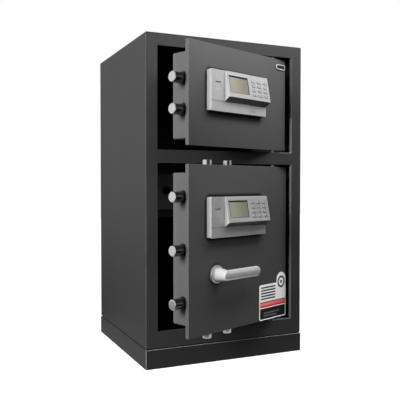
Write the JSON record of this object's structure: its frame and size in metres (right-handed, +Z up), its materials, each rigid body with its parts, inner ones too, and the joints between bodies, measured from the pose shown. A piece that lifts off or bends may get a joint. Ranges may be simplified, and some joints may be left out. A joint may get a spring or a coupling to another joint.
{
  "type": "electronic safe",
  "caption": "Tall dark steel electronic safe: an upper and a lower door stand ajar with round bolts thrown, keypad locks, a lever handle and a drop-flap locker inside.",
  "frame": {"origin": "centre of the base, on the floor", "axes": "+Z up, the front with the doors faces -Y, +X towards the hinge side, the right as seen from the front"},
  "size_m": [0.432, 0.5394, 0.8],
  "materials": {
    "cabinet_paint": "fine-grained graphite powder coat",
    "inner_paint": "matte black powder coat",
    "door_paint": "fine-grained grey powder coat",
    "box_paint": "satin grey powder coat",
    "bolt_chrome": "satin chrome plate",
    "plated_steel": "zinc plate",
    "handle_nickel": "brushed satin nickel",
    "lock_plastic": "silver metallic lacquer on moulded plastic",
    "display_pane": "glossy pane over an unlit display",
    "key_plastic": "satin light grey plastic"
  },
  "bodies": {
    "cabinet": {"casing": "cabinet_paint", "back_panel": "cabinet_paint", "front_frame": "cabinet_paint", "plinth": "cabinet_paint", "partition": "inner_paint", "hinge_blocks": "plated_steel", "locker_case": "inner_paint"},
    "upper_door": {"upper_door_plate": "door_paint", "upper_bolt_box": "box_paint", "upper_rear_cover": "box_paint", "upper_hinge_pins": "plated_steel", "upper_actuator": "plated_steel", "upper_lock_base": "lock_plastic", "upper_lock_bezel": "lock_plastic", "upper_display": "display_pane"},
    "upper_bolts": {"upper_side_bolts": "bolt_chrome"},
    "upper_keyhole_slide": {"upper_keyhole_cover": "lock_plastic"},
    "lower_door": {"lower_door_plate": "door_paint", "lower_bolt_box": "box_paint", "lower_rear_cover": "box_paint", "lower_hinge_pins": "plated_steel", "rosette": "handle_nickel", "lower_lock_base": "lock_plastic", "lower_lock_bezel": "lock_plastic", "lower_display": "display_pane"},
    "handle": {"lever": "handle_nickel", "spiral_cam": "plated_steel"},
    "side_bolts": {"lower_side_bolts": "bolt_chrome", "side_bolt_bar": "plated_steel"},
    "top_bolt_pair": {"top_bolts": "bolt_chrome", "top_bolt_bar": "plated_steel"},
    "bottom_bolt_pair": {"bottom_bolts": "bolt_chrome", "bottom_bolt_bar": "plated_steel"},
    "lower_keyhole_slide": {"lower_keyhole_cover": "lock_plastic"},
    "flap": {"locker_flap": "box_paint"},
    "knob": {"locker_knob": "plated_steel"},
    "upper_key_1_cap": {"upper_key_1": "key_plastic"},
    "upper_key_2_cap": {"upper_key_2": "key_plastic"},
    "upper_key_3_cap": {"upper_key_3": "key_plastic"},
    "upper_key_4_cap": {"upper_key_4": "key_plastic"},
    "upper_key_5_cap": {"upper_key_5": "key_plastic"},
    "upper_key_6_cap": {"upper_key_6": "key_plastic"},
    "upper_key_7_cap": {"upper_key_7": "key_plastic"},
    "upper_key_8_cap": {"upper_key_8": "key_plastic"},
    "upper_key_9_cap": {"upper_key_9": "key_plastic"},
    "upper_key_10_cap": {"upper_key_10": "key_plastic"},
    "upper_key_11_cap": {"upper_key_11": "key_plastic"},
    "upper_key_12_cap": {"upper_key_12": "key_plastic"},
    "lower_key_1_cap": {"lower_key_1": "key_plastic"},
    "lower_key_2_cap": {"lower_key_2": "key_plastic"},
    "lower_key_3_cap": {"lower_key_3": "key_plastic"},
    "lower_key_4_cap": {"lower_key_4": "key_plastic"},
    "lower_key_5_cap": {"lower_key_5": "key_plastic"},
    "lower_key_6_cap": {"lower_key_6": "key_plastic"},
    "lower_key_7_cap": {"lower_key_7": "key_plastic"},
    "lower_key_8_cap": {"lower_key_8": "key_plastic"},
    "lower_key_9_cap": {"lower_key_9": "key_plastic"},
    "lower_key_10_cap": {"lower_key_10": "key_plastic"},
    "lower_key_11_cap": {"lower_key_11": "key_plastic"},
    "lower_key_12_cap": {"lower_key_12": "key_plastic"}
  },
  "joints": [
    {"name": "upper_door_hinge", "type": "hinge", "parent": "cabinet", "child": "upper_door", "pos_m": [0.135, -0.1975, 0.647], "axis": [0, 0, 1], "range_deg": [-21.5, 88.5]},
    {"name": "lower_door_hinge", "type": "hinge", "parent": "cabinet", "child": "lower_door", "pos_m": [0.135, -0.1975, 0.2905], "axis": [0, 0, 1], "range_deg": [-21.5, 88.5]},
    {"name": "upper_bolt_slide", "type": "slide", "parent": "upper_door", "child": "upper_bolts", "axis": [0.9304, 0.3665, 0], "range_m": [0, 0.03]},
    {"name": "handle_turn", "type": "hinge", "parent": "lower_door", "child": "handle", "pos_m": [-0.07434, -0.27996, 0.232], "axis": [-0.3665, 0.9304, 0], "range_deg": [0, 90]},
    {"name": "side_bolt_slide", "type": "slide", "parent": "lower_door", "child": "side_bolts", "axis": [0.9304, 0.3665, 0], "range_m": [0, 0.03]},
    {"name": "top_bolt_slide", "type": "slide", "parent": "lower_door", "child": "top_bolt_pair", "axis": [0, 0, -1], "range_m": [0, 0.018]},
    {"name": "bottom_bolt_slide", "type": "slide", "parent": "lower_door", "child": "bottom_bolt_pair", "axis": [0, 0, 1], "range_m": [0, 0.024]},
    {"name": "flap_hinge", "type": "hinge", "parent": "cabinet", "child": "flap", "pos_m": [0, -0.0275, 0.377], "axis": [1, 0, 0], "range_deg": [0, 90]},
    {"name": "knob_turn", "type": "hinge", "parent": "flap", "child": "knob", "pos_m": [-0.098, -0.0275, 0.425], "axis": [0, -1, 0], "range_deg": [0, 90]},
    {"name": "upper_keyhole_cover_slide", "type": "slide", "parent": "upper_door", "child": "upper_keyhole_slide", "axis": [0.9304, 0.3665, 0], "range_m": [0, 0.045]},
    {"name": "lower_keyhole_cover_slide", "type": "slide", "parent": "lower_door", "child": "lower_keyhole_slide", "axis": [0.9304, 0.3665, 0], "range_m": [0, 0.045]},
    {"name": "upper_key_1_press", "type": "slide", "parent": "upper_door", "child": "upper_key_1_cap", "axis": [-0.3595, 0.9126, -0.1946], "range_m": [0, 0.001], "stiffness_N_per_m": 300},
    {"name": "upper_key_2_press", "type": "slide", "parent": "upper_door", "child": "upper_key_2_cap", "axis": [-0.3595, 0.9126, -0.1946], "range_m": [0, 0.001], "stiffness_N_per_m": 300},
    {"name": "upper_key_3_press", "type": "slide", "parent": "upper_door", "child": "upper_key_3_cap", "axis": [-0.3595, 0.9126, -0.1946], "range_m": [0, 0.001], "stiffness_N_per_m": 300},
    {"name": "upper_key_4_press", "type": "slide", "parent": "upper_door", "child": "upper_key_4_cap", "axis": [-0.3595, 0.9126, -0.1946], "range_m": [0, 0.001], "stiffness_N_per_m": 300},
    {"name": "upper_key_5_press", "type": "slide", "parent": "upper_door", "child": "upper_key_5_cap", "axis": [-0.3595, 0.9126, -0.1946], "range_m": [0, 0.001], "stiffness_N_per_m": 300},
    {"name": "upper_key_6_press", "type": "slide", "parent": "upper_door", "child": "upper_key_6_cap", "axis": [-0.3595, 0.9126, -0.1946], "range_m": [0, 0.001], "stiffness_N_per_m": 300},
    {"name": "upper_key_7_press", "type": "slide", "parent": "upper_door", "child": "upper_key_7_cap", "axis": [-0.3595, 0.9126, -0.1946], "range_m": [0, 0.001], "stiffness_N_per_m": 300},
    {"name": "upper_key_8_press", "type": "slide", "parent": "upper_door", "child": "upper_key_8_cap", "axis": [-0.3595, 0.9126, -0.1946], "range_m": [0, 0.001], "stiffness_N_per_m": 300},
    {"name": "upper_key_9_press", "type": "slide", "parent": "upper_door", "child": "upper_key_9_cap", "axis": [-0.3595, 0.9126, -0.1946], "range_m": [0, 0.001], "stiffness_N_per_m": 300},
    {"name": "upper_key_10_press", "type": "slide", "parent": "upper_door", "child": "upper_key_10_cap", "axis": [-0.3595, 0.9126, -0.1946], "range_m": [0, 0.001], "stiffness_N_per_m": 300},
    {"name": "upper_key_11_press", "type": "slide", "parent": "upper_door", "child": "upper_key_11_cap", "axis": [-0.3595, 0.9126, -0.1946], "range_m": [0, 0.001], "stiffness_N_per_m": 300},
    {"name": "upper_key_12_press", "type": "slide", "parent": "upper_door", "child": "upper_key_12_cap", "axis": [-0.3595, 0.9126, -0.1946], "range_m": [0, 0.001], "stiffness_N_per_m": 300},
    {"name": "lower_key_1_press", "type": "slide", "parent": "lower_door", "child": "lower_key_1_cap", "axis": [-0.3595, 0.9126, -0.1946], "range_m": [0, 0.001], "stiffness_N_per_m": 300},
    {"name": "lower_key_2_press", "type": "slide", "parent": "lower_door", "child": "lower_key_2_cap", "axis": [-0.3595, 0.9126, -0.1946], "range_m": [0, 0.001], "stiffness_N_per_m": 300},
    {"name": "lower_key_3_press", "type": "slide", "parent": "lower_door", "child": "lower_key_3_cap", "axis": [-0.3595, 0.9126, -0.1946], "range_m": [0, 0.001], "stiffness_N_per_m": 300},
    {"name": "lower_key_4_press", "type": "slide", "parent": "lower_door", "child": "lower_key_4_cap", "axis": [-0.3595, 0.9126, -0.1946], "range_m": [0, 0.001], "stiffness_N_per_m": 300},
    {"name": "lower_key_5_press", "type": "slide", "parent": "lower_door", "child": "lower_key_5_cap", "axis": [-0.3595, 0.9126, -0.1946], "range_m": [0, 0.001], "stiffness_N_per_m": 300},
    {"name": "lower_key_6_press", "type": "slide", "parent": "lower_door", "child": "lower_key_6_cap", "axis": [-0.3595, 0.9126, -0.1946], "range_m": [0, 0.001], "stiffness_N_per_m": 300},
    {"name": "lower_key_7_press", "type": "slide", "parent": "lower_door", "child": "lower_key_7_cap", "axis": [-0.3595, 0.9126, -0.1946], "range_m": [0, 0.001], "stiffness_N_per_m": 300},
    {"name": "lower_key_8_press", "type": "slide", "parent": "lower_door", "child": "lower_key_8_cap", "axis": [-0.3595, 0.9126, -0.1946], "range_m": [0, 0.001], "stiffness_N_per_m": 300},
    {"name": "lower_key_9_press", "type": "slide", "parent": "lower_door", "child": "lower_key_9_cap", "axis": [-0.3595, 0.9126, -0.1946], "range_m": [0, 0.001], "stiffness_N_per_m": 300},
    {"name": "lower_key_10_press", "type": "slide", "parent": "lower_door", "child": "lower_key_10_cap", "axis": [-0.3595, 0.9126, -0.1946], "range_m": [0, 0.001], "stiffness_N_per_m": 300},
    {"name": "lower_key_11_press", "type": "slide", "parent": "lower_door", "child": "lower_key_11_cap", "axis": [-0.3595, 0.9126, -0.1946], "range_m": [0, 0.001], "stiffness_N_per_m": 300},
    {"name": "lower_key_12_press", "type": "slide", "parent": "lower_door", "child": "lower_key_12_cap", "axis": [-0.3595, 0.9126, -0.1946], "range_m": [0, 0.001], "stiffness_N_per_m": 300}
  ],
  "couplings": [
    {"joint": "side_bolt_slide", "follows": "handle_turn", "m_per_rad": 0.019098},
    {"joint": "top_bolt_slide", "follows": "handle_turn", "m_per_rad": 0.011459},
    {"joint": "bottom_bolt_slide", "follows": "handle_turn", "m_per_rad": 0.015278}
  ]
}
